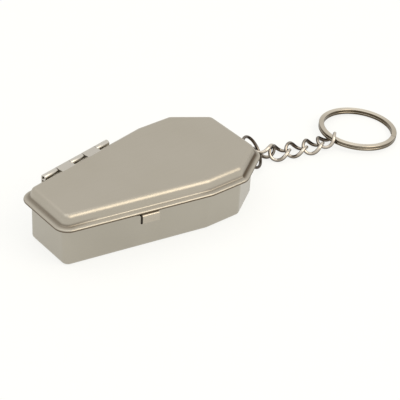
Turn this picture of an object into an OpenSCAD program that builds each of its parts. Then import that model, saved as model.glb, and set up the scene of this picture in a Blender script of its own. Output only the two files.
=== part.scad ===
// Pressed metal pocket box in the eight-sided plan of an old casket, with a side
// hinge, a thumb tab, and a short twisted chain that ends in a split ring.
// Length runs along X from foot to head, the hinge is on the +Y side, and the box
// stands on Z = 0 with the middle of its underside at the origin.

/* [Box plan] */
// Length of the lid's brim from foot to head
box_length = 71; // [60:0.5:90]
// Width of the brim across the shoulders
box_width = 39; // [34:0.5:48]
// Width of the brim at the foot
foot_width = 21.3; // [17:0.1:27]
// Width of the brim at the head
head_width = 22.3; // [18:0.1:28]
// Distance from the foot to where the shoulders begin
shoulder_start = 45.8; // [40:0.1:50]
// Length of the straight shoulders
shoulder_length = 12.7; // [8:0.1:15]
// Plan radius of the brim's corners
corner_radius = 4.4; // [4.1:0.1:5.5]
// Thickness of the pressed sheet
sheet = 0.45; // [0.3:0.05:0.6]

/* [Lid] */
// Height of the closed box
box_height = 17; // [15:0.25:21]
// Height of the raised top above the brim
crown_height = 3.4; // [2.8:0.1:4.4]
// Depth of the skirt that turns down at the brim's edge
skirt_depth = 0.65; // [0.6:0.05:0.9]
// Distance from the brim's edge in to the edge of the raised top
crown_inset = 2.54; // [2.2:0.02:2.8]
// Outward lean of the step wall over its height
step_lean = 0.84; // [0.3:0.02:1.1]
// Radius of the rounded edge of the raised top
crown_radius = 1.6; // [1:0.1:1.8]
// Fall of the brim from the groove out to its edge
brim_fall = 0.3; // [0.1:0.05:0.4]
// Radius of the groove where the step meets the brim
groove_radius = 0.4; // [0.2:0.05:0.6]
// Radius of the brim's rounded edge
brim_radius = 0.6; // [0.5:0.05:0.6]

/* [Tray] */
// Distance from the brim's edge in to the tray's wall
tray_inset = 2.26; // [2:0.02:2.6]
// Radius of the edge between the wall and the floor
floor_radius = 1.2; // [0.8:0.1:1.5]
// Width of the flange that turns out at the tray's rim
flange_width = 1.6; // [1.2:0.05:1.6]
// Gap between the flange and the brim above it
lid_gap = 0.35; // [0.3:0.05:0.5]
// Radius of the outer bend between wall and flange
rim_radius = 0.5; // [0.3:0.05:0.6]

/* [Hinge] */
// Distance from the foot corner to the first knuckle
hinge_start = 8.7; // [6:0.1:12]
// Spacing of the five knuckles
knuckle_pitch = 5.25; // [4.5:0.05:6]
// Outside diameter of a rolled knuckle
knuckle_d = 1.85; // [1.75:0.05:2]
// Diameter of the hinge pin
pin_d = 0.95; // [0.8:0.05:1]
// Radial clearance between the pin and the lid's knuckles
pin_clearance = 0.05; // [0.03:0.01:0.08]
// Gap between one knuckle and the next
knuckle_gap = 0.15; // [0.1:0.05:0.3]
// Distance from the brim's edge in to the hinge axis
hinge_inset = 0.85; // [0.8:0.05:0.95]

/* [Thumb tab] */
// Distance from the foot corner to the tab
tab_start = 23.5; // [18:0.1:30]
// Length of the tab along the edge
tab_length = 5.8; // [4:0.1:9]
// How far the tab stands out past the brim
tab_reach = 0.75; // [0.6:0.05:1.2]
// Height of the tab's outer face
tab_drop = 2.7; // [2:0.1:4]

/* [Ring lug] */
// Diameter of the lug's hole
lug_hole_d = 2.2; // [2:0.1:2.4]
// Width of metal round the hole
lug_rim = 0.65; // [0.5:0.05:0.9]
// Thickness of the lug's upright ear
lug_ear_t = 0.6; // [0.5:0.05:0.8]
// Distance from the tray's wall out to the hole's axis
lug_reach = 4.7; // [4.5:0.1:5.2]
// Distance from the tray's flange down to the hole's axis
lug_drop = 3.25; // [3:0.05:3.6]
// Width of the foot that is welded to the wall
lug_foot_width = 4.4; // [3:0.1:6]
// Height of the foot
lug_foot_height = 4.8; // [4.4:0.1:5.4]
// Thickness of the foot
lug_foot_t = 0.8; // [0.5:0.1:1]

/* [Jump ring] */
// Diameter of the wire of the jump ring and the chain
wire_d = 1; // [0.8:0.05:1]
// Diameter of the jump ring across the middle of its wire
jump_ring_d = 10.1; // [9.8:0.1:10.6]
// Height of the wire at the point where the first link hangs in the jump ring
jump_hook_height = 3.92; // [3.8:0.02:4.1]
// Angle by which the jump ring is turned about its own line down from the lug
jump_turn = 40; // [37:1:43]
// Angle left open where the wire's ends meet
jump_split = 2; // [1:0.5:6]

/* [Chain] */
// Length of a link across the middle of its wire
link_length = 7; // [6.8:0.1:7.2]
// Width of a link across the middle of its wire
link_width = 5.6; // [5.5:0.1:5.8]
// Play between one link and the next
link_play = 0.06; // [0.05:0.01:0.1]
// Angle by which each link is twisted from end to end
link_twist = 90; // [86:1:91]

/* [Split ring] */
// Outside diameter of the split ring
split_ring_d = 25.4; // [24:0.2:30]
// Width of its flattened wire
coil_width = 1.7; // [1.4:0.05:1.8]
// Thickness of one of its two turns
coil_thickness = 0.85; // [0.7:0.05:0.9]
// Gap between the two turns
coil_gap = 0.04; // [0.02:0.01:0.1]
// Length of the bend where the wire steps from one turn to the other
coil_step = 3.6; // [3:0.1:5]
// Clear gap at each end of the wire
coil_end_gap = 0.25; // [0.15:0.05:0.4]

/* [Hidden] */

// Segments of the exact rounds, of a plan corner, of a bend and of a wire
round_fn = 48;
corner_steps = 6;
bend_steps = 4;
wire_sides = 12;
link_steps = 48;
// Overrun of a cut past the metal, and depth by which joined shapes share metal
overrun = 1;
merge = 0.1;

// Colours
tray_colour = "#a5a294";
lid_colour = "#aca89b";
trim_colour = "#9a978b";
ring_colour = "#b5aea6";

// Heights of the rim, all from the closed box
brim_height = box_height - crown_height;
skirt_foot = brim_height - skirt_depth;
flange_top = brim_height - sheet - lid_gap;
flange_foot = flange_top - sheet;
flange_inset = tray_inset - flange_width;

// Plan corners of the brim, from the foot's near corner and against the clock
foot_x = -box_length / 2;
head_x = box_length / 2;
shoulder_x = foot_x + shoulder_start;
plan = [[foot_x, -foot_width / 2], [shoulder_x, -box_width / 2],
        [shoulder_x + shoulder_length, -box_width / 2], [head_x, -head_width / 2],
        [head_x, head_width / 2], [shoulder_x + shoulder_length, box_width / 2],
        [shoulder_x, box_width / 2], [foot_x, foot_width / 2]];
sides = len(plan);

function unit(v) = v / norm(v);
function outward(i) = let (d = unit(plan[(i + 1) % sides] - plan[i])) [d[1], -d[0]];
function turn(i) = let (n = outward(i)) atan2(n[1], n[0]);
// Turning angle of the outline at corner i, always positive
function corner_sweep(i) = (turn(i) - turn((i + sides - 1) % sides) + 720) % 360;
// Centre that all the offsets of corner i share
function corner_centre(i) = let (a = outward((i + sides - 1) % sides), b = outward(i))
    plan[i] - corner_radius * (a + b) / (1 + a * b);
// Closed outline at a distance in from the brim's edge, at height z
function outline(inset, z) = [for (i = [0:sides - 1], k = [0:corner_steps])
    let (c = corner_centre(i), a = turn((i + sides - 1) % sides) + corner_sweep(i) * k / corner_steps,
         r = corner_radius - inset)
    [c[0] + r * cos(a), c[1] + r * sin(a), z]];
ring_points = sides * (corner_steps + 1);

// Points of an open path whose inner corners are rounded, one radius for each
function rounded_path(path, radii) = concat([path[0]],
    [for (i = [1:len(path) - 2]) let (
        a = unit(path[i - 1] - path[i]), b = unit(path[i + 1] - path[i]),
        half = acos(a * b) / 2, r = radii[i - 1], reach = r / tan(half),
        c = path[i] + unit(a + b) * r / sin(half),
        from = path[i] + a * reach - c, to = path[i] + b * reach - c,
        start = atan2(from[1], from[0]),
        sweep = (atan2(to[1], to[0]) - start + 540) % 360 - 180)
        for (k = [0:bend_steps]) c + r * [cos(start + sweep * k / bend_steps), sin(start + sweep * k / bend_steps)]],
    [path[len(path) - 1]]);
// The same path moved sideways by t, to its left
function shifted_path(path, t) = [for (i = [0:len(path) - 1]) let (
    a = i > 0 ? unit(path[i] - path[i - 1]) : unit(path[1] - path[0]),
    b = i < len(path) - 1 ? unit(path[i + 1] - path[i]) : a,
    m = [-a[1], a[0]], n = [-b[1], b[0]])
    path[i] + t * (m + n) / (1 + m * n)];
function reversed(list) = [for (i = [len(list) - 1:-1:0]) list[i]];

// Solid between outlines stacked along a profile of [inset, z] pairs
module lofted(profile) {
    last = (len(profile) - 1) * ring_points;
    polyhedron(
        points = [for (p = profile) each outline(p[0], p[1])],
        faces = concat(
            [[for (k = [0:ring_points - 1]) k]],
            [[for (k = [ring_points - 1:-1:0]) last + k]],
            [for (j = [0:len(profile) - 2], k = [0:ring_points - 1])
                let (a = j * ring_points, b = a + ring_points, n = (k + 1) % ring_points)
                each [[a + k, b + k, b + n], [a + k, b + n, a + n]]]),
        convexity = 10);
}

// Frame along a long side: x runs from the foot corner along the brim's edge, y points outward
side_angle = atan2((box_width - foot_width) / 2, shoulder_start);
module side_frame() {
    translate([foot_x, foot_width / 2, 0]) rotate(side_angle) children();
}
module near_side_frame() {
    mirror([0, 1, 0]) side_frame() children();
}

// Hinge
knuckles = 5;
hinge_length = knuckles * knuckle_pitch - knuckle_gap;
hinge_z = box_height - knuckle_d / 2;
pin_fit = 0.01;
strap_outer = knuckle_d / 2 - hinge_inset;
module knuckle_place(i) {
    translate([hinge_start + i * knuckle_pitch, -hinge_inset, hinge_z]) rotate([0, 90, 0]) children();
}

// Tray: one pressed shell with a flange that turns out at its rim
tray_wall = [[tray_inset + floor_radius + merge, 0], [tray_inset, 0], [tray_inset, flange_foot],
             [flange_inset, flange_foot]];
tray_radii = [floor_radius, rim_radius];
tray_inner = [floor_radius - sheet, rim_radius + sheet];
tab_clearance = 0.4;
module tray() {
    outer = rounded_path(tray_wall, tray_radii);
    inner = rounded_path(shifted_path(tray_wall, -sheet), tray_inner);
    color(tray_colour) {
        difference() {
            lofted(concat(outer, reversed(inner)));
            // notch in the flange that the thumb tab passes through
            near_side_frame() translate([tab_start - tab_clearance, merge + rim_radius - tray_inset, flange_foot - overrun])
                cube([tab_length + 2 * tab_clearance, tray_inset, sheet + 2 * overrun]);
        }
    }
}

// Hinge leaf: a strip welded under the tray's flange, with three straps that rise outside
// the lid's step and are rolled into knuckles
leaf_inner = tray_inset - rim_radius;
module leaf_strap(i) {
    bore = pin_d + 2 * pin_fit;
    width = knuckle_pitch - knuckle_gap;
    difference() {
        union() {
            translate([hinge_start + i * knuckle_pitch, strap_outer - sheet, flange_foot - sheet])
                cube([width, sheet, hinge_z - flange_foot + sheet]);
            knuckle_place(i) cylinder(d = knuckle_d, h = width, $fn = round_fn);
        }
        knuckle_place(i) translate([0, 0, -overrun])
            cylinder(d = bore, h = knuckle_pitch + 2 * overrun, $fn = round_fn);
    }
}
module hinge_leaf() {
    color(trim_colour) side_frame() {
        translate([hinge_start, -leaf_inner, flange_foot - sheet])
            cube([hinge_length, leaf_inner + strap_outer, sheet]);
        for (i = [0:2:knuckles - 1]) leaf_strap(i);
    }
}

// Lid: one pressed shell with two tongues that are rolled into knuckles
step_foot = crown_inset - step_lean;
lid_wall = [[crown_inset + crown_radius, box_height], [crown_inset, box_height],
            [step_foot, brim_height + brim_fall], [0, brim_height], [0, skirt_foot]];
lid_radii = [crown_radius, groove_radius, brim_radius];
lid_inner = [crown_radius - sheet, groove_radius + sheet, brim_radius - sheet];
hinge_relief = 0.5;
brim_cut = hinge_inset + hinge_relief;
module lid_tongue(i) {
    reach = crown_inset + crown_radius + sheet - hinge_inset;
    difference() {
        union() {
            translate([hinge_start + i * knuckle_pitch, -hinge_inset - reach, box_height - sheet])
                cube([knuckle_pitch - knuckle_gap, reach, sheet]);
            knuckle_place(i) cylinder(d = knuckle_d, h = knuckle_pitch - knuckle_gap, $fn = round_fn);
        }
        knuckle_place(i) translate([0, 0, -overrun])
            cylinder(d = pin_d + 2 * pin_clearance, h = knuckle_pitch + 2 * overrun, $fn = round_fn);
    }
}
module lid() {
    outer = rounded_path(lid_wall, lid_radii);
    inner = rounded_path(shifted_path(lid_wall, sheet), lid_inner);
    color(lid_colour) {
        difference() {
            lofted(concat(inner, reversed(outer)));
            // the brim is cut away along the hinge so that the straps can rise past it
            side_frame() translate([hinge_start - hinge_relief, -brim_cut, skirt_foot - overrun])
                cube([hinge_length + 2 * hinge_relief, brim_cut + overrun, brim_height - skirt_foot + 2 * overrun]);
        }
        side_frame() for (i = [1:2:knuckles - 1]) lid_tongue(i);
    }
}

// Pin through all five knuckles, a little short of their ends
pin_setback = 0.3;
module hinge_pin() {
    color(trim_colour) side_frame()
        translate([hinge_start + pin_setback, -hinge_inset, hinge_z]) rotate([0, 90, 0])
            cylinder(d = pin_d, h = hinge_length - 2 * pin_setback, $fn = round_fn);
}

// Tab: a strip welded under the brim that comes out below the skirt and turns down
tab_radius = 0.5;
tab_root = step_foot - 2 * merge;
tab_weld = tab_root - sheet - 2 * merge;
// Height of the brim's underside at a distance in from its edge
function brim_under(x) = brim_height + (brim_fall * x - sheet * norm([step_foot, brim_fall])) / step_foot;
module thumb_tab() {
    // cross-section drawn with x outward from the brim's edge and y up
    color(trim_colour) near_side_frame() translate([tab_start, 0, 0]) rotate([90, 0, 90])
        linear_extrude(height = tab_length) {
            translate([-tab_root, skirt_foot - sheet]) square([tab_root + tab_reach - tab_radius, sheet]);
            polygon([[-tab_root, skirt_foot - sheet], [tab_weld - tab_root, skirt_foot - sheet],
                     [tab_weld - tab_root, brim_under(tab_root - tab_weld)], [-tab_root, brim_under(tab_root)]]);
            translate([tab_reach - tab_radius, skirt_foot - tab_radius]) intersection() {
                difference() {
                    circle(r = tab_radius, $fn = round_fn);
                    circle(r = tab_radius - sheet, $fn = round_fn);
                }
                square(tab_radius);
            }
            translate([tab_reach - sheet, skirt_foot - tab_drop]) square([sheet, tab_drop - tab_radius]);
        }
}

// Lug: an upright eared plate on a foot that is welded to the tray's head wall
wall_x = head_x - tray_inset;
hole_x = wall_x + lug_reach;
lug_height = flange_foot - lug_drop;
lug_r = lug_hole_d / 2 + lug_rim;
lug_arm = flange_foot - rim_radius - (lug_height - lug_r);
module ring_lug() {
    color(trim_colour) {
        translate([wall_x, -lug_foot_width / 2, flange_foot - rim_radius - lug_foot_height])
            cube([lug_foot_t, lug_foot_width, lug_foot_height]);
        rotate([90, 0, 0]) translate([0, 0, -lug_ear_t / 2]) linear_extrude(height = lug_ear_t) difference() {
            union() {
                translate([hole_x, lug_height]) circle(r = lug_r, $fn = round_fn);
                translate([wall_x, lug_height - lug_r]) square([lug_reach, lug_arm]);
            }
            translate([hole_x, lug_height]) circle(d = lug_hole_d, $fn = round_fn);
        }
    }
}

// Jump ring: round wire that hangs from the lug's hole and leans out towards the chain
jump_r = jump_ring_d / 2;
// Where the chain hooks into the ring, as an angle round it from the lug
hook_angle = 153.5;
// The ring swings down from the lug until its hook is at the height that the chain gives it
hook_along = 1 - cos(hook_angle);
hook_across = sin(hook_angle) * sin(jump_turn);
hook_lever = jump_r * norm([hook_along, hook_across]);
jump_slope = asin((lug_height - jump_hook_height) / hook_lever) + atan2(hook_across, hook_along);
jump_down = [cos(jump_slope), 0, -sin(jump_slope)];
jump_side = [sin(jump_slope) * sin(jump_turn), cos(jump_turn), cos(jump_slope) * sin(jump_turn)];
jump_top = [hole_x, 0, lug_height];
jump_centre = jump_top + jump_r * jump_down;
jump_hook = jump_centre + jump_r * (sin(hook_angle) * jump_side - cos(hook_angle) * jump_down);
module jump_ring() {
    color(ring_colour) translate(jump_centre)
        rotate([0, jump_slope, 0]) rotate([jump_turn, 0, 0]) rotate(90 + jump_split / 2)
            rotate_extrude(angle = 360 - jump_split, $fn = 2 * round_fn)
                translate([jump_r, 0]) circle(d = wire_d, $fn = round_fn);
}

// Chain: twisted links that lie on the ground, each hooked behind the far end of the one before it.
// Plan direction and roll of each link
headings = [-16.5, -11.5, -19.5, -11.5, 5.5];
rolls = [-51, 7, 0, 0, -20];
// Slope at which each link after the first falls towards its far end
later_falls = [2.2, 0, 0, -7];
// Plan direction of the hook at the near end of each link after the first, and slack of every hook
hook_headings = [1.5, -15.5, -15.5, -2];
hook_slacks = [0.27, 0.61, 0, 0, 0.09];
function hook_reach(i) = wire_d + link_play + hook_slacks[i];
link_step = 360 / link_steps;
// Height of the chain's axis at which its twisted links lie on the ground
chain_z = wire_d / 2 + max([for (i = [0:link_steps - 1]) link_point(i * link_step)[2]]);
second_z = chain_z + link_length * sin(later_falls[0]);
// The first link comes down from the jump ring to a little above the second link's near end
first_rise = 0.32;
first_fall = asin((jump_hook_height - second_z - first_rise) / (link_length - hook_reach(0)));
falls = concat([first_fall], later_falls);
function heading_vector(a) = [cos(a), sin(a), 0];
function link_way(i) = cos(falls[i]) * heading_vector(headings[i]) - [0, 0, sin(falls[i])];
function link_near(i) = i == 0 ? jump_hook - hook_reach(0) * link_way(0)
    : let (e = link_end(i - 1)) [e[0], e[1], i == 1 ? second_z : chain_z]
        - hook_reach(i) * heading_vector(hook_headings[i - 1]);
function link_end(i) = link_near(i) + link_length * link_way(i);
// Twist of the link's plane about its length, eased from the near end to the far end
function twist_at(u) = let (share = 0.5 - cos(u) / 2) link_twist * (0.5 - share * share * (3 - 2 * share));
// Middle of the wire at angle u round the link, which lies along x from its near to its far end
function link_point(u) = let (y = link_width / 2 * sin(u), a = twist_at(u))
    [-link_length / 2 * cos(u), y * cos(a), y * sin(a)];
function link_normal(u) = [0, -sin(twist_at(u)), cos(twist_at(u))];
module chain_link() {
    points = [for (i = [0:link_steps - 1]) let (
        u = i * link_step, c = link_point(u),
        along = unit(link_point(u + link_step) - link_point(u - link_step)),
        raw = link_normal(u), up = unit(raw - (raw * along) * along), side = cross(along, up))
        for (k = [0:wire_sides - 1]) let (a = 360 * k / wire_sides)
            c + wire_d / 2 * (cos(a) * up + sin(a) * side)];
    faces = [for (i = [0:link_steps - 1], k = [0:wire_sides - 1]) let (
        a = i * wire_sides, b = ((i + 1) % link_steps) * wire_sides, n = (k + 1) % wire_sides)
        each [[a + k, a + n, b + n], [a + k, b + n, b + k]]];
    polyhedron(points = points, faces = faces, convexity = 10);
}
module placed_link(i) {
    color(ring_colour) translate(link_near(i)) rotate(headings[i]) rotate([0, falls[i], 0]) rotate([rolls[i], 0, 0])
        translate([link_length / 2, 0, 0]) chain_link();
}

// Split ring: two turns of flat wire, one on the other, with a step between them. Its near side
// is held up by the last link, a little below that link's end
ring_heading = -2.5;
ring_drop = 0.2;
ring_mid = split_ring_d / 2 - coil_width / 2;
stack = 2 * coil_thickness + coil_gap;
ring_tilt = asin((link_end(4)[2] - ring_drop - stack / 2) / (2 * ring_mid));
ring_seat = 0.9;
ring_centre_reach = split_ring_d / 2 - coil_width - ring_seat;
coil_round = 0.3;
ring_lift = (split_ring_d / 2 - coil_round) * sin(ring_tilt) + (stack / 2 - coil_round) * cos(ring_tilt) + coil_round;
split_centre = let (e = link_end(4), d = heading_vector(ring_heading))
    [e[0], e[1], 0] + (ring_centre_reach * cos(ring_tilt)) * d + [0, 0, ring_lift];
step_sweep = coil_step / ring_mid * 180 / PI;
end_sweep = coil_end_gap / ring_mid * 180 / PI;
step_angle = -54;
skin = 0.02;
ramp_lap = merge / ring_mid * 180 / PI;
// Section of the flat wire with rounded edges, drawn in by a small amount where asked
function coil_section(draw_in) = [for (c = [[1, 1], [-1, 1], [-1, -1], [1, -1]], k = [0:bend_steps]) let (
    base = c[0] > 0 ? (c[1] > 0 ? 0 : 270) : (c[1] > 0 ? 90 : 180), a = base + 90 * k / bend_steps)
    [c[0] * (coil_width / 2 - coil_round) + (coil_round - draw_in) * cos(a),
     c[1] * (coil_thickness / 2 - coil_round) + (coil_round - draw_in) * sin(a)]];
module coil_turn(from, to, z) {
    translate([0, 0, z]) rotate(from) rotate_extrude(angle = to - from, $fn = 2 * round_fn)
        translate([ring_mid, 0]) polygon(coil_section(0));
}
module coil_ramp(from, to, z0, z1) {
    // the wire's section swept round while it climbs from one turn to the other
    section = coil_section(skin);
    m = len(section);
    steps = 2 * bend_steps;
    points = [for (i = [0:steps], p = section) let (
        t = i / steps, a = from + (to - from) * t, r = ring_mid + p[0], ease = t * t * (3 - 2 * t))
        [r * cos(a), r * sin(a), z0 + (z1 - z0) * ease + p[1]]];
    faces = concat([[for (k = [0:m - 1]) k]], [[for (k = [m - 1:-1:0]) steps * m + k]],
        [for (i = [0:steps - 1], k = [0:m - 1]) let (a = i * m, b = a + m, n = (k + 1) % m)
            each [[a + k, b + k, b + n], [a + k, b + n, a + n]]]);
    polyhedron(points = points, faces = faces, convexity = 6);
}
module split_ring() {
    low = (coil_thickness - stack) / 2;
    color(ring_colour) translate(split_centre) rotate(ring_heading) rotate([0, ring_tilt, 0]) {
        coil_turn(step_angle + step_sweep, step_angle + 360 - end_sweep, low);
        coil_ramp(step_angle + step_sweep + ramp_lap, step_angle - ramp_lap, low, -low);
        coil_turn(step_angle - 360 + step_sweep + end_sweep, step_angle, -low);
    }
}

tray();
hinge_leaf();
hinge_pin();
lid();
thumb_tab();
ring_lug();
jump_ring();
placed_link(0);  // chain_link_1
placed_link(1);  // chain_link_2
placed_link(2);  // chain_link_3
placed_link(3);  // chain_link_4
placed_link(4);  // chain_link_5
split_ring();
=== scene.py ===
import bpy
import math
from mathutils import Matrix, Vector


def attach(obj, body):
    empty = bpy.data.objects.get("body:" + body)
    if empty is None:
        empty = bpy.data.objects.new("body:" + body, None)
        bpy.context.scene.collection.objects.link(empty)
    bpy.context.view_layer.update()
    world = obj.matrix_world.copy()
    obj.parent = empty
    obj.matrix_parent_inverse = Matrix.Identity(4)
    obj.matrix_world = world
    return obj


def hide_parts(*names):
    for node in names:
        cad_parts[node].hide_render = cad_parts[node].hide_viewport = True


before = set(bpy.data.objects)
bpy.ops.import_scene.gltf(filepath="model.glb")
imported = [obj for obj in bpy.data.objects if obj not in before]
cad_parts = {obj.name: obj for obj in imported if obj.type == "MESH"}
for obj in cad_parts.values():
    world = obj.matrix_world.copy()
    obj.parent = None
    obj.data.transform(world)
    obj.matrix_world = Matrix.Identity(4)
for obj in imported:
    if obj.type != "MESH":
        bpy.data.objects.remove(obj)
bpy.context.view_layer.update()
mm = 0.001
print("frame loaded:", len(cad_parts), "nodes")


# Small helpers that every piece uses
def clamp(value):
    return min(1, max(0, value))


def ease(share):
    # starts and ends softly between 0 and 1
    return share * share * (3 - 2 * share)


def deselectAll():
    bpy.ops.object.select_all(action="DESELECT")


def onlyActive(piece):
    deselectAll()
    piece.select_set(True)
    bpy.context.view_layer.objects.active = piece


def objectMode():
    bpy.ops.object.mode_set(mode="OBJECT")


def editMode(piece, kind="FACE"):
    # edit mode with the whole piece selected
    onlyActive(piece)
    bpy.ops.object.mode_set(mode="EDIT")
    bpy.ops.mesh.select_mode(type=kind)
    bpy.ops.mesh.select_all(action="SELECT")


def faceOutward(piece):
    editMode(piece)
    bpy.ops.mesh.normals_make_consistent(inside=False)
    objectMode()


def pickEdges(piece, test):
    objectMode()
    mesh = piece.data
    for face in mesh.polygons:
        face.select = False
    for point in mesh.vertices:
        point.select = False
    for edge in mesh.edges:
        a, b = (mesh.vertices[i].co for i in edge.vertices)
        edge.select = test(a, b)
    bpy.ops.object.mode_set(mode="EDIT")
    bpy.ops.mesh.select_mode(type="EDGE")


def insetBy(thickness, depth=0):
    bpy.ops.mesh.inset(thickness=thickness, depth=depth, use_even_offset=True)


def drawOn(dy, dz):
    # extrudes what is selected
    bpy.ops.mesh.extrude_region_move(TRANSFORM_OT_translate={"value": (0, dy, dz)})


def addModifier(piece, kind, **values):
    onlyActive(piece)
    modifier = piece.modifiers.new(kind, kind)
    for key, value in values.items():
        setattr(modifier, key, value)
    bpy.ops.object.modifier_apply(modifier=modifier.name)


def thicken(piece, sheet, offset):
    addModifier(piece, "SOLIDIFY", thickness=sheet, offset=offset, use_even_offset=True)


def roundEdges(piece, width, segments=3, degrees=50):
    limit = math.radians(degrees)
    addModifier(piece, "BEVEL", width=width, segments=segments, limit_method="ANGLE", angle_limit=limit)


def combine(piece, other, operation):
    addModifier(piece, "BOOLEAN", operation=operation, object=other, solver="EXACT")
    bpy.data.objects.remove(other)


def smooth(piece, degrees=40):
    onlyActive(piece)
    bpy.ops.object.shade_smooth_by_angle(angle=math.radians(degrees))


def settle(piece, matrix=None):
    # puts the place into the mesh and leaves the object at the origin
    onlyActive(piece)
    if matrix is not None:
        piece.matrix_world = matrix @ piece.matrix_world
    bpy.ops.object.transform_apply(location=True, rotation=True, scale=True)


def loopOn(piece, point, normal):
    # an edge loop where a plane meets the piece
    editMode(piece)
    bpy.ops.mesh.bisect(plane_co=point, plane_no=normal)
    objectMode()


def cubeBetween(low, high, matrix=None):
    low, high = Vector(low), Vector(high)
    deselectAll()
    bpy.ops.mesh.primitive_cube_add(size=1, location=(low + high) / 2)
    cube = bpy.context.object
    cube.scale = high - low
    settle(cube, matrix)
    return cube


def addRod(sides, radius, length, place, turn):
    deselectAll()
    bpy.ops.mesh.primitive_cylinder_add(vertices=sides, radius=radius, depth=length, location=place,
                                        rotation=turn)
    return bpy.context.object


# Plan of the brim, foot at -x and head at +x, hinge side at +y
boxPlan = {
    "length": 71 * mm,
    "width": 39 * mm,
    "footWidth": 21.3 * mm,
    "headWidth": 22.3 * mm,
    "shoulderStart": 45.8 * mm,
    "shoulderLength": 12.7 * mm,
    "cornerRadius": 4.4 * mm,
    "cornerSteps": 10,
}
samePlane = 0.01 * mm  # points this close in height are on one loop
sameLine = 0.35 * mm   # and this close to its outline


def planCorners():
    plan = boxPlan
    footX, headX = -plan["length"] / 2, plan["length"] / 2
    shoulderX = footX + plan["shoulderStart"]
    lastX = shoulderX + plan["shoulderLength"]
    near = [
        (footX, -plan["footWidth"] / 2),
        (shoulderX, -plan["width"] / 2),
        (lastX, -plan["width"] / 2),
        (headX, -plan["headWidth"] / 2),
    ]
    far = [(x, -y) for x, y in reversed(near)]
    return [Vector(corner) for corner in near + far]


def planOutline(inset):
    # the plan's outline with rounded corners, moved in by the inset
    corners = planCorners()
    count, steps, cornerRadius = len(corners), boxPlan["cornerSteps"], boxPlan["cornerRadius"]
    points = []
    for i, corner in enumerate(corners):
        before = (corner - corners[i - 1]).normalized()
        after = (corners[(i + 1) % count] - corner).normalized()
        outBefore, outAfter = Vector((before.y, -before.x)), Vector((after.y, -after.x))
        centre = corner - cornerRadius * (outBefore + outAfter) / (1 + outBefore.dot(outAfter))
        start = math.atan2(outBefore.y, outBefore.x)
        sweep = (math.atan2(outAfter.y, outAfter.x) - start) % (2 * math.pi)
        for k in range(steps + 1):
            angle = start + sweep * k / steps
            points.append(centre + (cornerRadius - inset) * Vector((math.cos(angle), math.sin(angle))))
    return points


def pickLoop(piece, inset, z):
    # selects the edges that run round the plan at one inset and one height
    outline = planOutline(inset)

    def onLoop(point):
        return abs(point.z - z) < samePlane and min((point.xy - p).length for p in outline) < sameLine

    pickEdges(piece, lambda a, b: onLoop(a) and onLoop(b))


def rollLoop(piece, inset, z, offset, segments):
    # rounds one of those loops
    pickLoop(piece, inset, z)
    bpy.ops.mesh.bevel(offset=offset, offset_type="OFFSET", segments=segments, profile=0.5, affect="EDGES")


def planFace(name, inset, z):
    points = planOutline(inset)
    deselectAll()
    bpy.ops.mesh.primitive_circle_add(vertices=len(points), radius=1, fill_type="NGON")
    piece = bpy.context.object
    piece.name = name
    for vertex, point in zip(piece.data.vertices, points):
        vertex.co = (point.x, point.y, z)
    faceOutward(piece)
    if piece.data.polygons[0].normal.z < 0:
        editMode(piece)
        bpy.ops.mesh.flip_normals()
        objectMode()
    return piece


# Frames of the long tapered sides: x along the brim's edge from the foot, y outward
taper = math.atan2((boxPlan["width"] - boxPlan["footWidth"]) / 2, boxPlan["shoulderStart"])
footCorner = Matrix.Translation((-boxPlan["length"] / 2, boxPlan["footWidth"] / 2, 0))
sideFrame = footCorner @ Matrix.Rotation(taper, 4, "Z")
nearFrame = Matrix.Scale(-1, 4, (0, 1, 0)) @ sideFrame

# The pressed lid, its brim open along the hinge
lidSizes = {
    "top": 17 * mm,
    "brimTop": 13.6 * mm,
    "skirt": 0.65 * mm,
    "crownInset": 2.54 * mm,
    "stepLean": 0.84 * mm,
    "crownRadius": 1.6 * mm,
    "brimFall": 0.3 * mm,
    "grooveRadius": 0.4 * mm,
    "brimRadius": 0.6 * mm,
    "sheet": 0.45 * mm,
    "lip": 0.2 * mm,
    "flatInset": 1.8 * mm,
    "stepLoop": 14.75 * mm,
    "cutReach": 3 * mm,
    "cutAbove": 1 * mm,
}


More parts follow.
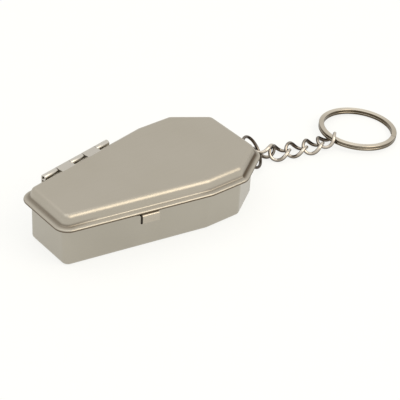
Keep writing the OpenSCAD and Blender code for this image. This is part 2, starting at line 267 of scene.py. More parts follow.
def makeLid():
    size, hinge = lidSizes, hingeSizes
    lid = planFace("lidShell", 0, size["brimTop"])
    editMode(lid)
    grooveZ = size["brimTop"] + size["brimFall"]
    insetBy(size["crownInset"] - size["stepLean"], size["brimFall"])
    insetBy(size["stepLean"], size["top"] - grooveZ)
    insetBy(size["flatInset"])
    pickLoop(lid, 0, size["brimTop"])
    drawOn(0, -size["skirt"])
    # rolled edges: crown, groove and brim
    lean = math.atan2(size["stepLean"], size["top"] - grooveZ)
    fall = math.atan2(size["brimFall"], size["crownInset"] - size["stepLean"])
    crownRoll = size["crownRadius"] * math.tan((math.pi / 2 - lean) / 2)
    grooveRoll = size["grooveRadius"] * math.tan((math.pi / 2 - lean - fall) / 2)
    brimRoll = size["brimRadius"] * math.tan((math.pi / 2 - fall) / 2)
    rollLoop(lid, size["crownInset"], size["top"], crownRoll, 10)
    rollLoop(lid, size["crownInset"] - size["stepLean"], grooveZ, grooveRoll, 5)
    rollLoop(lid, 0, size["brimTop"], brimRoll, 7)
    objectMode()
    thicken(lid, size["sheet"], -1)
    # a loop round the step ends the painted shade of the groove
    loopOn(lid, (0, 0, size["stepLoop"]), (0, 0, 1))
    # the brim is cut away along the hinge, between two edge loops that keep its shading even
    cutStart, cutEnd = hinge["start"] - hinge["relief"], hinge["start"] + hingeLength + hinge["relief"]
    for x in (cutStart - hinge["loopAway"], cutEnd + hinge["loopAway"]):
        loopOn(lid, sideFrame @ Vector((x, 0, 0)), sideFrame.to_3x3() @ Vector((1, 0, 0)))
    cutter = cubeBetween((cutStart, -hinge["inset"] - hinge["relief"], size["brimTop"] - size["cutReach"]),
                         (cutEnd, size["cutReach"], size["brimTop"] + size["cutAbove"]), sideFrame)
    combine(lid, cutter, "DIFFERENCE")
    roundEdges(lid, size["lip"], 2)
    smooth(lid, 45)
    return lid


# The pressed tray
traySizes = {
    "wallInset": 2.26 * mm,
    "flangeInset": 0.66 * mm,
    "flangeUnder": 12.35 * mm,
    "floorRadius": 1.2 * mm,
    "rimRadius": 0.5 * mm,
    "sheet": 0.45 * mm,
    "flatInset": 1.4 * mm,
    "notchSide": 0.4 * mm,
    "notchDepth": 1.66 * mm,
    "notchOver": 1 * mm,
}


def makeTray():
    size, tab = traySizes, tabSizes
    tray = planFace("trayShell", size["flangeInset"], size["flangeUnder"])
    editMode(tray)
    bpy.ops.mesh.flip_normals()
    insetBy(size["wallInset"] - size["flangeInset"])
    drawOn(0, -size["flangeUnder"])
    insetBy(size["flatInset"])
    rollLoop(tray, size["wallInset"], 0, size["floorRadius"], 8)
    rollLoop(tray, size["wallInset"], size["flangeUnder"], size["rimRadius"], 5)
    objectMode()
    thicken(tray, size["sheet"], -1)
    # known fault: the near frame turns this cutter inside out, so the tab's notch stays uncut in the flange
    notchStart, notchEnd = tab["start"] - size["notchSide"], tab["start"] + tab["length"] + size["notchSide"]
    cutter = cubeBetween((notchStart, -size["notchDepth"], size["flangeUnder"] - size["notchOver"]),
                         (notchEnd, size["notchOver"], size["flangeUnder"] + size["notchOver"]), nearFrame)
    combine(tray, cutter, "DIFFERENCE")
    smooth(tray, 45)
    return tray


# A strip of sheet: an edge along x that is drawn along y and z in straights and bends
mergeWithin = 0.001 * mm


def startStrip(name, x0, x1, y, z):
    deselectAll()
    bpy.ops.mesh.primitive_plane_add(size=1)
    strip = bpy.context.object
    strip.name = name
    editMode(strip, "EDGE")
    pickEdges(strip, lambda a, b: a.y > 0 and b.y > 0)
    bpy.ops.mesh.select_all(action="INVERT")
    bpy.ops.mesh.delete(type="EDGE")
    objectMode()
    ends = sorted(strip.data.vertices, key=lambda v: v.co.x)
    ends[0].co, ends[-1].co = (x0, y, z), (x1, y, z)
    editMode(strip, "EDGE")
    return strip


def bendRound(y, z, degrees, steps):
    # positive degrees turn from +y towards +z
    bpy.ops.mesh.spin(steps=steps, angle=-math.radians(degrees), center=(0, y, z), axis=(1, 0, 0))


def finishStrip(strip, sheet, edge, place, mirrored=False):
    bpy.ops.mesh.select_all(action="SELECT")
    bpy.ops.mesh.remove_doubles(threshold=mergeWithin)
    bpy.ops.mesh.normals_make_consistent(inside=False)
    objectMode()
    thicken(strip, sheet, 0)
    roundEdges(strip, edge)
    settle(strip, place)
    if mirrored:
        # a mirrored place turns the faces inside out
        faceOutward(strip)
    smooth(strip)
    return strip


# The hinge: three straps of the leaf and two tongues of the lid, curled round one pin
hingeSizes = {
    "start": 8.7 * mm,
    "pitch": 5.25 * mm,
    "gap": 0.15 * mm,
    "knuckles": 5,
    "outside": 1.85 * mm,
    "inset": 0.85 * mm,
    "relief": 0.5 * mm,
    "loopAway": 0.4 * mm,
    "curl": 305,
    "curlSteps": 28,
    "curlEdge": 0.07 * mm,
    "strapSheet": 0.45 * mm,
    "leafFoot": 1.76 * mm,
    "leafBend": 0.4 * mm,
    "leafEdge": 0.05 * mm,
    "tongueSheet": 0.4 * mm,
    "tongueRoot": 4.2 * mm,
    "tongueFlat": 2.0 * mm,
    "tongueSunk": 0.03 * mm,
    "pin": 0.95 * mm,
    "pinSetback": 0.55 * mm,
    "pinEdge": 0.12 * mm,
}
hingeZ = lidSizes["top"] - hingeSizes["outside"] / 2
hingeLength = hingeSizes["knuckles"] * hingeSizes["pitch"] - hingeSizes["gap"]


def makeStrap(i):
    hinge = hingeSizes
    x0 = hinge["start"] + i * hinge["pitch"]
    x1 = x0 + hinge["pitch"] - hinge["gap"]
    half = hinge["strapSheet"] / 2
    footZ = traySizes["flangeUnder"] - half
    lineY = hinge["outside"] / 2 - hinge["inset"] - half
    strap = startStrip("hingeStrap%d" % (i + 1), x0, x1, -hinge["leafFoot"], footZ)
    drawOn(lineY - hinge["leafBend"] + hinge["leafFoot"], 0)
    bendRound(lineY - hinge["leafBend"], footZ + hinge["leafBend"], 90, 6)
    drawOn(0, hingeZ - footZ - hinge["leafBend"])
    bendRound(-hinge["inset"], hingeZ, hinge["curl"], hinge["curlSteps"])
    return finishStrip(strap, hinge["strapSheet"], hinge["curlEdge"], sideFrame)


def makeTongue(i):
    hinge = hingeSizes
    x0 = hinge["start"] + i * hinge["pitch"]
    x1 = x0 + hinge["pitch"] - hinge["gap"]
    root, flat, sunk = hinge["tongueRoot"], hinge["tongueFlat"], hinge["tongueSunk"]
    topZ = hingeZ + hinge["outside"] / 2 - hinge["tongueSheet"] / 2
    tongue = startStrip("lidTongue%d" % (i // 2 + 1), x0, x1, -root, topZ - sunk)
    drawOn(flat, 0)
    drawOn(root - flat - hinge["inset"], sunk)
    bendRound(-hinge["inset"], hingeZ, -hinge["curl"], hinge["curlSteps"])
    return finishStrip(tongue, hinge["tongueSheet"], hinge["curlEdge"], sideFrame)


def makeLeafFoot():
    hinge = hingeSizes
    footZ = traySizes["flangeUnder"] - hinge["strapSheet"] / 2
    x0, x1 = hinge["start"], hinge["start"] + hingeLength
    foot = startStrip("hingeLeafFoot", x0, x1, -hinge["leafFoot"], footZ)
    drawOn(hinge["leafFoot"] - traySizes["flangeInset"], 0)
    return finishStrip(foot, hinge["strapSheet"], hinge["leafEdge"], sideFrame)


def makePin():
    hinge = hingeSizes
    middle = (hinge["start"] + hingeLength / 2, -hinge["inset"], hingeZ)
    pin = addRod(32, hinge["pin"] / 2, hingeLength - 2 * hinge["pinSetback"], middle, (0, math.pi / 2, 0))
    pin.name = "hingeRod"
    settle(pin, sideFrame)
    roundEdges(pin, hinge["pinEdge"])
    smooth(pin)
    return pin


# The thumb tab under the brim of the near side, bent down over the tray's wall
tabSizes = {
    "start": 23.5 * mm,
    "length": 5.8 * mm,
    "root": 1.5 * mm,
    "reach": 0.75 * mm,
    "bend": 0.5 * mm,
    "drop": 2.7 * mm,
    "sheet": 0.45 * mm,
    "edge": 0.1 * mm,
    "shadedEnd": 0.5 * mm,
}


def makeTab():
    size = tabSizes
    half = size["sheet"] / 2
    topZ = lidSizes["brimTop"] - lidSizes["skirt"] - half
    bend = size["bend"] - half
    tab = startStrip("tabStrip", size["start"], size["start"] + size["length"], -size["root"], topZ)
    drawOn(size["root"] + size["reach"] - size["bend"], 0)
    bendRound(size["reach"] - size["bend"], topZ - bend, -90, 8)
    drawOn(0, -(size["drop"] - size["bend"]))
    return finishStrip(tab, size["sheet"], size["edge"], nearFrame, mirrored=True)


def shadeTabEnd(tab):
    # painted shade: the strip's end on the foot side is painted near black for the shadowed gap behind it
    line = nearFrame @ Vector((tabSizes["start"] + tabSizes["shadedEnd"], 0, 0))
    along = (nearFrame.to_3x3() @ Vector((1, 0, 0))).normalized()
    loopOn(tab, line, along)
    tab.data.materials.append(finishes["tabEndShade"])
    for face in tab.data.polygons:
        face.material_index = 1 if (face.center - line).dot(along) < 0 else 0


# The eared plate on the tray's head wall that holds the jump ring
lugSizes = {
    "reach": 4.7 * mm,
    "height": 9.1 * mm,
    "hole": 2.2 * mm,
    "rim": 0.65 * mm,
    "ear": 0.6 * mm,
    "arm": 4.5 * mm,
    "foot": (0.8 * mm, 4.4 * mm, 4.8 * mm),
    "footBottom": 7.05 * mm,
    "edge": 0.1 * mm,
}


def makeLug():
    size = lugSizes
    wallX = boxPlan["length"] / 2 - traySizes["wallInset"]
    holeCentre = Vector((wallX + size["reach"], 0, size["height"]))
    acrossY = (math.pi / 2, 0, 0)
    earRadius = size["hole"] / 2 + size["rim"]
    earBottom = size["height"] - earRadius
    ear = addRod(64, earRadius, size["ear"], holeCentre, acrossY)
    ear.name = "lugEar"
    arm = cubeBetween((wallX, -size["ear"] / 2, earBottom),
                      (holeCentre.x, size["ear"] / 2, earBottom + size["arm"]))
    combine(ear, arm, "UNION")
    depth, width, height = size["foot"]
    foot = cubeBetween((wallX, -width / 2, size["footBottom"]),
                       (wallX + depth, width / 2, size["footBottom"] + height))
    combine(ear, foot, "UNION")
    hole = addRod(48, size["hole"] / 2, 4 * size["ear"], holeCentre, acrossY)
    combine(ear, hole, "DIFFERENCE")
    settle(ear)
    roundEdges(ear, size["edge"], degrees=40)
    smooth(ear)
    return ear, holeCentre


# Wire pieces start as a torus whose rings are set along their own line
def wireRing(name, radius, wire, steps, sides):
    deselectAll()
    bpy.ops.mesh.primitive_torus_add(major_segments=steps, minor_segments=sides, major_radius=radius,
                                     minor_radius=wire / 2)
    ring = bpy.context.object
    ring.name = name
    return ring


# The jump ring, which hangs from the lug's hole down to the first link
jumpRingSizes = {
    "wire": 1.0 * mm,
    "radius": 5.05 * mm,
    "slope": 40.97,
    "turn": 40,
    "hookAngle": 153.5,
    "splitShare": 0.018,
    "edge": 0.05 * mm,
    "steps": 96,
    "sides": 24,
}


def makeJumpRing(holeCentre):
    size = jumpRingSizes
    radius, wire = size["radius"], size["wire"]
    ring = wireRing("jumpRingWire", radius, wire, size["steps"], size["sides"])
    # the wire's two ends meet at a fine split on the ring's side
    split = radius * size["splitShare"]
    cutter = cubeBetween((-split, radius - wire, -wire), (split, radius + wire, wire))
    combine(ring, cutter, "DIFFERENCE")
    roundEdges(ring, size["edge"], 2)
    slope, turn, hookAngle = (math.radians(size[key]) for key in ("slope", "turn", "hookAngle"))
    place = Matrix.Rotation(slope, 4, "Y") @ Matrix.Rotation(turn, 4, "X")
    down, side = place @ Vector((1, 0, 0)), place @ Vector((0, 1, 0))
    centre = holeCentre + radius * down
    settle(ring, Matrix.Translation(centre) @ place)
    smooth(ring, 50)
    return ring, centre + radius * (math.sin(hookAngle) * side - math.cos(hookAngle) * down)


# The chain: one twisted link, copied five times, with one value for each copy in the lists
chainSizes = {
    "wire": 1.0 * mm,
    "swell": 0.12 * mm,
    "swellPower": 8,
    "length": 7.0 * mm,
    "width": 5.6 * mm,
    "twist": 90,
    "hooks": (1.33 * mm, 1.67 * mm, 1.06 * mm, 1.06 * mm, 1.15 * mm),
    "hookHeadings": (None, 1.5, -15.5, -15.5, -2),  # the first link follows the jump ring's hook
    "headings": (-16.5, -11.5, -19.5, -11.5, 5.5),
    "rolls": (-51, 7, 0, 0, -20),
    "falls": (None, 2.2, 0, 0, -7),
    "firstRise": 0.32 * mm,
    "steps": 72,
    "sides": 20,
}


def linkLine(angle):
    # the wire's middle and the link's own upright at one angle round the link
    y = chainSizes["width"] / 2 * math.sin(angle)
    twist = math.radians(chainSizes["twist"] * (0.5 - ease(0.5 - math.cos(angle) / 2)))
    middle = Vector((-chainSizes["length"] / 2 * math.cos(angle), y * math.cos(twist), y * math.sin(twist)))
    return middle, Vector((0, -math.sin(twist), math.cos(twist)))


def makeLink():
    size = chainSizes
    link = wireRing("chainWire", size["length"] / 2, size["wire"], size["steps"], size["sides"])
    step = 2 * math.pi / size["steps"]
    strands = []
    for vertex in link.data.vertices:
        angle = math.pi - math.atan2(vertex.co.y, vertex.co.x)
        out = math.hypot(vertex.co.x, vertex.co.y) - size["length"] / 2
        tube = math.atan2(vertex.co.z, out)
        centre, upright = linkLine(angle)
        along = (linkLine(angle + step)[0] - linkLine(angle - step)[0]).normalized()
        up = (upright - upright.dot(along) * along).normalized()
        side = along.cross(up)
        # the strands are a little fuller than the ends that hook into the next link
        radius = size["wire"] / 2 + size["swell"] * math.sin(angle) ** size["swellPower"]
        vertex.co = centre + radius * (math.sin(tube) * up - math.cos(tube) * side)
        strands.append(math.sin(angle))
    link.data.attributes.new("strand", "FLOAT", "POINT").data.foreach_set("value", strands)
    faceOutward(link)
    smooth(link, 60)
    return link


def makeChain(hookPoint):
    # each copy of the link is laid at its heading, fall and roll
    size = chainSizes
    pattern = makeLink()
    angles = [2 * math.pi * i / size["steps"] for i in range(size["steps"])]
    restZ = size["wire"] / 2 + max(linkLine(angle)[0].z for angle in angles)
    secondZ = restZ + size["length"] * math.sin(math.radians(size["falls"][1]))
    firstFall = math.asin((hookPoint.z - secondZ - size["firstRise"]) / (size["length"] - size["hooks"][0]))
    links = []
    end = None
    for i in range(len(size["headings"])):
        fall = math.radians(size["falls"][i]) if i else firstFall
        turn = (Matrix.Rotation(math.radians(size["headings"][i]), 4, "Z") @ Matrix.Rotation(fall, 4, "Y")
                @ Matrix.Rotation(math.radians(size["rolls"][i]), 4, "X"))
        way = turn @ Vector((1, 0, 0))
        if i == 0:
            near = hookPoint - size["hooks"][0] * way
        else:
            back = math.radians(size["hookHeadings"][i])
            near = end - size["hooks"][i] * Vector((math.cos(back), math.sin(back), 0))
            near.z = secondZ if i == 1 else restZ
        end = near + size["length"] * way
        link = pattern.copy()
        link.data = pattern.data.copy()
        link.name = "chainWire%d" % (i + 1)
        bpy.context.collection.objects.link(link)
        settle(link, Matrix.Translation(near) @ turn @ Matrix.Translation((size["length"] / 2, 0, 0)))
        links.append(link)
    bpy.data.objects.remove(pattern)
    return links, end


# The split ring: a flat wire of two turns, with a step between them
splitRingSizes = {
    "diameter": 25.4 * mm,
    "width": 1.7 * mm,
    "turn": 0.85 * mm,
    "gap": 0.04 * mm,
    "round": 0.3 * mm,
    "roundSteps": 5,
    "step": 3.6 * mm,
    "endGap": 0.25 * mm,
    "seat": 0.9 * mm,
    "drop": 0.2 * mm,
    "heading": -2.5,
    "stepAngle": -54,
    "stepsPerTurn": 144,
}


def makeSplitRing(hookPoint):
    size = splitRingSizes
    outer, rounding = size["diameter"] / 2, size["round"]
    middle = outer - size["width"] / 2
    stack = 2 * size["turn"] + size["gap"]
    # section of the flat wire, drawn as a bevelled plane and spun through two turns
    deselectAll()
    bpy.ops.mesh.primitive_plane_add(size=1)
    ring = bpy.context.object
    ring.name = "splitRingCoil"
    ring.scale = (size["width"], size["turn"], 1)
    ring.rotation_euler = (math.pi / 2, 0, 0)
    ring.location = (middle, 0, 0)
    settle(ring)
    editMode(ring, "VERT")
    bpy.ops.mesh.bevel(offset=rounding, offset_type="ABSOLUTE", segments=size["roundSteps"], profile=0.5,
                       affect="VERTICES")
    objectMode()
    perRing = len(ring.data.vertices)
    editMode(ring)
    steps = 2 * size["stepsPerTurn"]
    wholeAngle = 4 * math.pi - (size["step"] + 2 * size["endGap"]) / middle
    bpy.ops.mesh.spin(steps=steps, angle=-wholeAngle, center=(0, 0, 0), axis=(0, 0, 1))
    objectMode()
    faceOutward(ring)
    # the wire starts on the lower turn, climbs over the step and ends on the upper turn
    ramp = size["step"] / middle
    rampFrom = 2 * math.pi - ramp - size["endGap"] / middle
    for index, vertex in enumerate(ring.data.vertices):
        angle = (index // perRing) / steps * wholeAngle
        climbed = ease(clamp((angle - rampFrom) / ramp))
        vertex.co.z += (size["turn"] + size["gap"]) * (climbed - 0.5)
    # laid down so that the chain's side is held up and the far side rests on the ground
    tilt = math.asin((hookPoint.z - size["drop"] - stack / 2) / (2 * middle))
    heading = math.radians(size["heading"])
    lift = (outer - rounding) * math.sin(tilt) + (stack / 2 - rounding) * math.cos(tilt) + rounding
    reach = (outer - size["width"] - size["seat"]) * math.cos(tilt)
    centre = Vector((hookPoint.x + reach * math.cos(heading), hookPoint.y + reach * math.sin(heading), lift))
    start = math.radians(size["stepAngle"]) + ramp
    settle(ring, Matrix.Translation(centre) @ Matrix.Rotation(heading, 4, "Z")
           @ Matrix.Rotation(tilt, 4, "Y") @ Matrix.Rotation(start, 4, "Z"))
    smooth(ring, 50)
    return ring


# Finishes
def newGroup(name, inputs, outputs):
    group = bpy.data.node_groups.new(name, "ShaderNodeTree")
    for label, kind, value in inputs:
        socket = group.interface.new_socket(name=label, in_out="INPUT", socket_type=kind)
        if value is not None:
            socket.default_value = value
    for label, kind in outputs:
        group.interface.new_socket(name=label, in_out="OUTPUT", socket_type=kind)
    group.nodes.new("NodeGroupInput").name = "in"
    group.nodes.new("NodeGroupOutput").name = "out"
    return group


def addNode(tree, kind, name, **values):
    node = tree.nodes.new(kind)
    node.name = name
    for key, value in values.items():
        setattr(node, key, value)
    return node


def setInputs(node, values):
    for label, value in values.items():
        node.inputs[label].default_value = value


def makeGrainGroup():
    # fine polishing lines along one axis with soft cloudy patches, for every plated piece
    number = "NodeSocketFloat"
    group = newGroup("polishGrain",
                     [("Vector", "NodeSocketVector", None), ("Line Scale", number, 900.0),
                      ("Stretch", number, 0.03), ("Cloud Scale", number, 60.0)],
                     [("Lines", number), ("Clouds", number)])
    wires = group.links
    start, end = group.nodes["in"], group.nodes["out"]
    stretch = addNode(group, "ShaderNodeCombineXYZ", "stretch")
    setInputs(stretch, {"Y": 1, "Z": 1})
    wires.new(start.outputs["Stretch"], stretch.inputs["X"])
    alongX = addNode(group, "ShaderNodeVectorMath", "alongX", operation="MULTIPLY")
    wires.new(start.outputs["Vector"], alongX.inputs[0])
    wires.new(stretch.outputs["Vector"], alongX.inputs[1])
    lines = addNode(group, "ShaderNodeTexNoise", "lines")
    setInputs(lines, {"Detail": 3})
    wires.new(alongX.outputs["Vector"], lines.inputs["Vector"])
    wires.new(start.outputs["Line Scale"], lines.inputs["Scale"])
    clouds = addNode(group, "ShaderNodeTexNoise", "clouds")
    setInputs(clouds, {"Detail": 2})
    wires.new(start.outputs["Vector"], clouds.inputs["Vector"])
    wires.new(start.outputs["Cloud Scale"], clouds.inputs["Scale"])
    wires.new(lines.outputs["Fac"], end.inputs["Lines"])
    wires.new(clouds.outputs["Fac"], end.inputs["Clouds"])
    return group


grainGroup = makeGrainGroup()
patchRange = (0.7, 1.3)  # how far the clouds thin and thicken the painted shade
lineRange = (0.3, 0.7)   # the part of the line pattern that changes the polish


def platedMetal(name, look):
    material = bpy.data.materials.new(name)
    material.use_nodes = True
    tree = material.node_tree
    wires = tree.links
    shader = tree.nodes["Principled BSDF"]
    setInputs(shader, {"Metallic": 1})
    coords = addNode(tree, "ShaderNodeTexCoord", "coords")
    grain = addNode(tree, "ShaderNodeGroup", "grain", node_tree=grainGroup)
    setInputs(grain, {"Line Scale": look["lineScale"], "Stretch": look["stretch"],
                      "Cloud Scale": look["cloudScale"]})
    wires.new(coords.outputs["Object"], grain.inputs["Vector"])
    tint = addNode(tree, "ShaderNodeMix", "tint", data_type="RGBA")
    setInputs(tint, {"A": (*look["dark"], 1), "B": (*look["light"], 1)})
    wires.new(grain.outputs["Clouds"], tint.inputs["Factor"])
    # dark painted shade where the piece's own attribute asks for it, broken up by the clouds
    shadeSource = addNode(tree, "ShaderNodeAttribute", "shadeSource", attribute_name="paintedShade")
    patchy = addNode(tree, "ShaderNodeMapRange", "patchy")
    setInputs(patchy, {"To Min": patchRange[0], "To Max": patchRange[1]})
    wires.new(grain.outputs["Clouds"], patchy.inputs["Value"])
    amount = addNode(tree, "ShaderNodeMath", "amount", operation="MULTIPLY", use_clamp=True)
    wires.new(shadeSource.outputs["Fac"], amount.inputs[0])
    wires.new(patchy.outputs["Result"], amount.inputs[1])
    shaded = addNode(tree, "ShaderNodeMix", "shaded", data_type="RGBA")
    setInputs(shaded, {"B": (*look["paintedShade"], 1)})
    wires.new(amount.outputs["Value"], shaded.inputs["Factor"])
    wires.new(tint.outputs["Result"], shaded.inputs["A"])
    wires.new(shaded.outputs["Result"], shader.inputs["Base Color"])
    polish = addNode(tree, "ShaderNodeMapRange", "polish")
    setInputs(polish, {"From Min": lineRange[0], "From Max": lineRange[1],
                       "To Min": look["smooth"], "To Max": look["rough"]})
    wires.new(grain.outputs["Lines"], polish.inputs["Value"])
    wires.new(polish.outputs["Result"], shader.inputs["Roughness"])
    bump = addNode(tree, "ShaderNodeBump", "lineBump")
    setInputs(bump, {"Strength": look["bump"], "Distance": look["depth"]})
    wires.new(grain.outputs["Lines"], bump.inputs["Height"])
    wires.new(bump.outputs["Normal"], shader.inputs["Normal"])
    return material


# Grain and the painted shade colour that several looks share
shellGrain = {"lineScale": 2500, "stretch": 0.06, "cloudScale": 60, "depth": 0.01 * mm}
fittingGrain = {"lineScale": 3500, "stretch": 0.1, "cloudScale": 200, "depth": 0.01 * mm}
wireGrain = {"lineScale": 1800, "stretch": 0.5, "depth": 0.01 * mm, "smooth": 0.1, "rough": 0.18,
             "bump": 0.06}
shadeBrown = (0.12, 0.09, 0.06)
looks = {
    "lidSatin": {**shellGrain, "dark": (0.43, 0.395, 0.33), "light": (0.465, 0.43, 0.37),
                 "paintedShade": shadeBrown, "smooth": 0.36, "rough": 0.42, "bump": 0.04},
    "traySatin": {**shellGrain, "dark": (0.41, 0.38, 0.32), "light": (0.45, 0.42, 0.36),
                  "paintedShade": (0.2, 0.18, 0.15), "smooth": 0.29, "rough": 0.34, "bump": 0.04},
    # the tongues are of the lid's own sheet: this lighter copy of its plating is painted light
    "tongueSatin": {**shellGrain, "dark": (0.52, 0.49, 0.44), "light": (0.6, 0.57, 0.52),
                    "paintedShade": shadeBrown, "smooth": 0.27, "rough": 0.33, "bump": 0.05},
    "fittingSatin": {**fittingGrain, "dark": (0.55, 0.52, 0.47), "light": (0.64, 0.61, 0.56),
                     "paintedShade": shadeBrown, "smooth": 0.2, "rough": 0.28, "bump": 0.06},
    "tabSatin": {**fittingGrain, "dark": (0.455, 0.41, 0.34), "light": (0.5, 0.455, 0.38),
                 "paintedShade": shadeBrown, "smooth": 0.22, "rough": 0.3, "bump": 0.05},
    # near-black painted shade for the gap behind the tab's end
    "tabEndShade": {"lineScale": 4000, "stretch": 0.3, "cloudScale": 400, "dark": (0.02, 0.016, 0.012),
                    "light": (0.06, 0.05, 0.04), "paintedShade": (0.02, 0.015, 0.01), "smooth": 0.5,
                    "rough": 0.7, "bump": 0.3, "depth": 0.02 * mm},
    "chainNickel": {**wireGrain, "cloudScale": 300, "dark": (0.5, 0.44, 0.36), "light": (0.72, 0.66, 0.58),
                    "paintedShade": (0.06, 0.042, 0.028)},
    "ringNickel": {**wireGrain, "cloudScale": 160, "dark": (0.55, 0.49, 0.4), "light": (0.85, 0.78, 0.66),
                   "paintedShade": (0.08, 0.058, 0.032)},
}
finishes = {name: platedMetal(name, look) for name, look in looks.items()}
print("finishes ready:", len(finishes))


def dress(piece, finish, body):
    piece.data.materials.clear()
    piece.data.materials.append(finishes[finish])
    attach(piece, body)


# Painted shade in the groove round the raised top, and a painted shadow on the brim's lower edge
lidShade = {
    "grooveTop": 14.5 * mm,
    "grooveReach": 0.35 * mm,
    "edgeTop": 13.42 * mm,
    "edge": 0.9,
    "headFrom": 22.5 * mm,
    "head": 0.95,
    "footFrom": -31.5 * mm,
    "foot": 0.6,
    "sides": 0.35,
}
# Painted light and shade on the wire: bright on the ridge that faces up and to the near side, painted shade
# on its flanks
wireShade = {
    "ridge": (-0.25, -0.45, 0.86),
    "ridgeEnd": 0.85,
    "blend": 0.5,
    "flanks": 0.95,
    "jumpRing": 0.7,
    "farStrand": 0.55,
    "farStart": 0.25,
    "farRise": 1.25,
    "coilTop": 0.9,
    "coilOutside": 0.8,
    "coilInside": 1.0,
    "coilSides": 0.35,
    "coilSideAngle": -41,
}


def paintShade(piece, share):
    # how much painted shade each point of a piece carries, read by its finish
    values = [clamp(share(vertex)) for vertex in piece.data.vertices]
    piece.data.attributes.new("paintedShade", "FLOAT", "POINT").data.foreach_set("value", values)


def paintLidShade(lid):
    shadeSource = lidShade
    groove = planOutline(lidSizes["crownInset"] - lidSizes["stepLean"])

    def share(vertex):
        co = vertex.co
        if co.z < shadeSource["edgeTop"]:
            return shadeSource["edge"]
        away = min((co.xy - point).length for point in groove)
        if co.z > shadeSource["grooveTop"] or away > shadeSource["grooveReach"]:
            return 0
        if co.x > shadeSource["headFrom"]:
            return shadeSource["head"]
        return shadeSource["foot"] if co.x < shadeSource["footFrom"] else shadeSource["sides"]

    paintShade(lid, share)


def flankShade(vertex):
    facing = vertex.normal.dot(Vector(wireShade["ridge"]))
    return wireShade["flanks"] * clamp((wireShade["ridgeEnd"] - facing) / wireShade["blend"])


def paintJumpShade(jump):
    # painted shade over the whole jump ring, more on its flanks
    paintShade(jump, lambda vertex: wireShade["jumpRing"] + flankShade(vertex))


def paintLinkShade(link):
    shadeSource = wireShade
    strands = [item.value for item in link.data.attributes["strand"].data]

    def share(vertex):
        # painted shade on the far strand of each link, added to the flanks
        far = clamp(shadeSource["farRise"] * strands[vertex.index] + shadeSource["farStart"])
        return flankShade(vertex) + shadeSource["farStrand"] * far

    paintShade(link, share)


def paintCoilShade(ring):
    shadeSource = wireShade
    centre = sum((v.co.xy for v in ring.data.vertices), Vector((0, 0))) / len(ring.data.vertices)

    # painted shade on the coil's undersides, its inside face and two opposite sides
    def share(vertex):
        radial = (vertex.co.xy - centre).normalized()
        side = shadeSource["coilOutside"] if radial.dot(vertex.normal.xy) > 0 else shadeSource["coilInside"]
        across = math.cos(math.atan2(radial.y, radial.x) - math.radians(shadeSource["coilSideAngle"]))
        under = clamp((shadeSource["coilTop"] - vertex.normal.z) / shadeSource["blend"])
        return shadeSource["coilSides"] * across * across + side * under

    paintShade(ring, share)


lid = makeLid()
dress(lid, "lidSatin", "lid")
paintLidShade(lid)
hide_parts("lid")
tray = makeTray()
dress(tray, "traySatin", "tray")
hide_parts("tray")
print("box shells made")

leafPieces = [makeStrap(i) for i in range(0, hingeSizes["knuckles"], 2)] + [makeLeafFoot()]
for piece in leafPieces:
    dress(piece, "fittingSatin", "tray")
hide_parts("hinge_leaf")
for piece in [makeTongue(i) for i in range(1, hingeSizes["knuckles"], 2)]:
    dress(piece, "tongueSatin", "lid")
pin = makePin()
dress(pin, "fittingSatin", "tray")
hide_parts("hinge_pin")
tab = makeTab()
dress(tab, "tabSatin", "lid")
shadeTabEnd(tab)
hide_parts("thumb_tab")
print("hinge and tab made")

lug, holeCentre = makeLug()
dress(lug, "fittingSatin", "tray")
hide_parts("ring_lug")
jump, hookPoint = makeJumpRing(holeCentre)
dress(jump, "chainNickel", "jump_ring")
paintJumpShade(jump)
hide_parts("jump_ring")
links, lastEnd = makeChain(hookPoint)
for i, link in enumerate(links):
    dress(link, "chainNickel", "link_%d" % (i + 1))
    paintLinkShade(link)
    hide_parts("chain_link_%d" % (i + 1))
ring = makeSplitRing(lastEnd)
dress(ring, "ringNickel", "split_ring")
paintCoilShade(ring)
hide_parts("split_ring")
print("chain and rings made")

# Floor, camera and studio light, in metres and watts
studio = {
    "floorSize": 3.0,
    "floorColour": (0.9, 0.895, 0.87, 1),
    "floorRough": 0.9,
    "backColour": (1.0, 1.0, 0.975, 1),
    "floorGlow": 0.8,
    "cameraPlace": (-0.19987, -0.25722, 0.23279),
    "cameraTarget": (0.01437, -0.00887, 0.00382),
    "cameraRoll": 3.585,
    "lens": 122.54,
    "sensor": 36,
    "clipStart": 0.01,
    "skyColour": (1.0, 0.99, 0.96, 1),
    "skyStrength": 0.95,
}
lamps = {
    "keyLamp": {"from": (0.29, -0.64, 0.71), "distance": 0.7, "size": (0.5, 0.42), "power": 1.55,
                "colour": (1.0, 0.89, 0.72)},
    "topLamp": {"from": (-0.2, 0.1, 1.0), "distance": 0.8, "size": (0.7, 0.7), "power": 0.9,
                "colour": (1.0, 1.0, 1.0)},
}


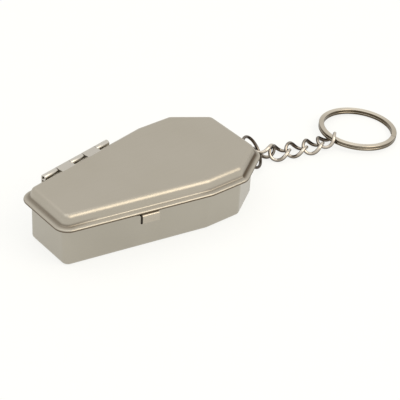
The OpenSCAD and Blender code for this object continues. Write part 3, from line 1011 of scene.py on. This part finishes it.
def makeFloor():
    deselectAll()
    bpy.ops.mesh.primitive_plane_add(size=studio["floorSize"], location=(0, 0, 0))
    floor = bpy.context.object
    floor.name = "paleFloor"
    material = bpy.data.materials.new("floorPaper")
    material.use_nodes = True
    tree = material.node_tree
    wires = tree.links
    shader = tree.nodes["Principled BSDF"]
    setInputs(shader, {"Base Color": studio["floorColour"], "Roughness": studio["floorRough"]})
    glow = addNode(tree, "ShaderNodeEmission", "glow")
    setInputs(glow, {"Color": studio["backColour"]})
    # the same white is seen by the camera and by rays that a surface reflects or lets through
    path = addNode(tree, "ShaderNodeLightPath", "path")
    both = addNode(tree, "ShaderNodeMath", "both", operation="ADD")
    seen = addNode(tree, "ShaderNodeMath", "seen", operation="ADD", use_clamp=True)
    share = addNode(tree, "ShaderNodeMath", "share", operation="MULTIPLY")
    share.inputs[1].default_value = studio["floorGlow"]
    mix = addNode(tree, "ShaderNodeMixShader", "mix")
    wires.new(path.outputs["Is Camera Ray"], both.inputs[0])
    wires.new(path.outputs["Is Glossy Ray"], both.inputs[1])
    wires.new(both.outputs["Value"], seen.inputs[0])
    wires.new(path.outputs["Is Transmission Ray"], seen.inputs[1])
    wires.new(seen.outputs["Value"], share.inputs[0])
    wires.new(share.outputs["Value"], mix.inputs["Fac"])
    wires.new(shader.outputs["BSDF"], mix.inputs[1])
    wires.new(glow.outputs["Emission"], mix.inputs[2])
    wires.new(mix.outputs["Shader"], tree.nodes["Material Output"].inputs["Surface"])
    floor.data.materials.append(material)


def addCamera():
    place, target = Vector(studio["cameraPlace"]), Vector(studio["cameraTarget"])
    deselectAll()
    bpy.ops.object.camera_add(location=place)
    camera = bpy.context.object
    camera.rotation_mode = "QUATERNION"
    aim = (target - place).to_track_quat("-Z", "Y")
    roll = Matrix.Rotation(math.radians(studio["cameraRoll"]), 3, "Z").to_quaternion()
    camera.rotation_quaternion = aim @ roll
    camera.data.lens = studio["lens"]
    camera.data.sensor_width = studio["sensor"]
    camera.data.clip_start = studio["clipStart"]
    bpy.context.scene.camera = camera


def addSoftbox(name, values):
    place = Vector(values["from"]).normalized() * values["distance"]
    deselectAll()
    bpy.ops.object.light_add(type="AREA", location=place)
    lamp = bpy.context.object
    lamp.name = name
    lamp.rotation_mode = "QUATERNION"
    lamp.rotation_quaternion = (-place).to_track_quat("-Z", "Y")
    lamp.data.shape = "RECTANGLE"
    lamp.data.size, lamp.data.size_y = values["size"]
    lamp.data.energy = values["power"]
    lamp.data.color = values["colour"]


def lightSky():
    world = bpy.data.worlds.new("studioWorld")
    bpy.context.scene.world = world
    world.use_nodes = True
    setInputs(world.node_tree.nodes["Background"],
              {"Color": studio["skyColour"], "Strength": studio["skyStrength"]})


makeFloor()
addCamera()
for name, values in lamps.items():
    addSoftbox(name, values)
lightSky()
bpy.context.scene.view_settings.view_transform = "Standard"
print("stage ready")
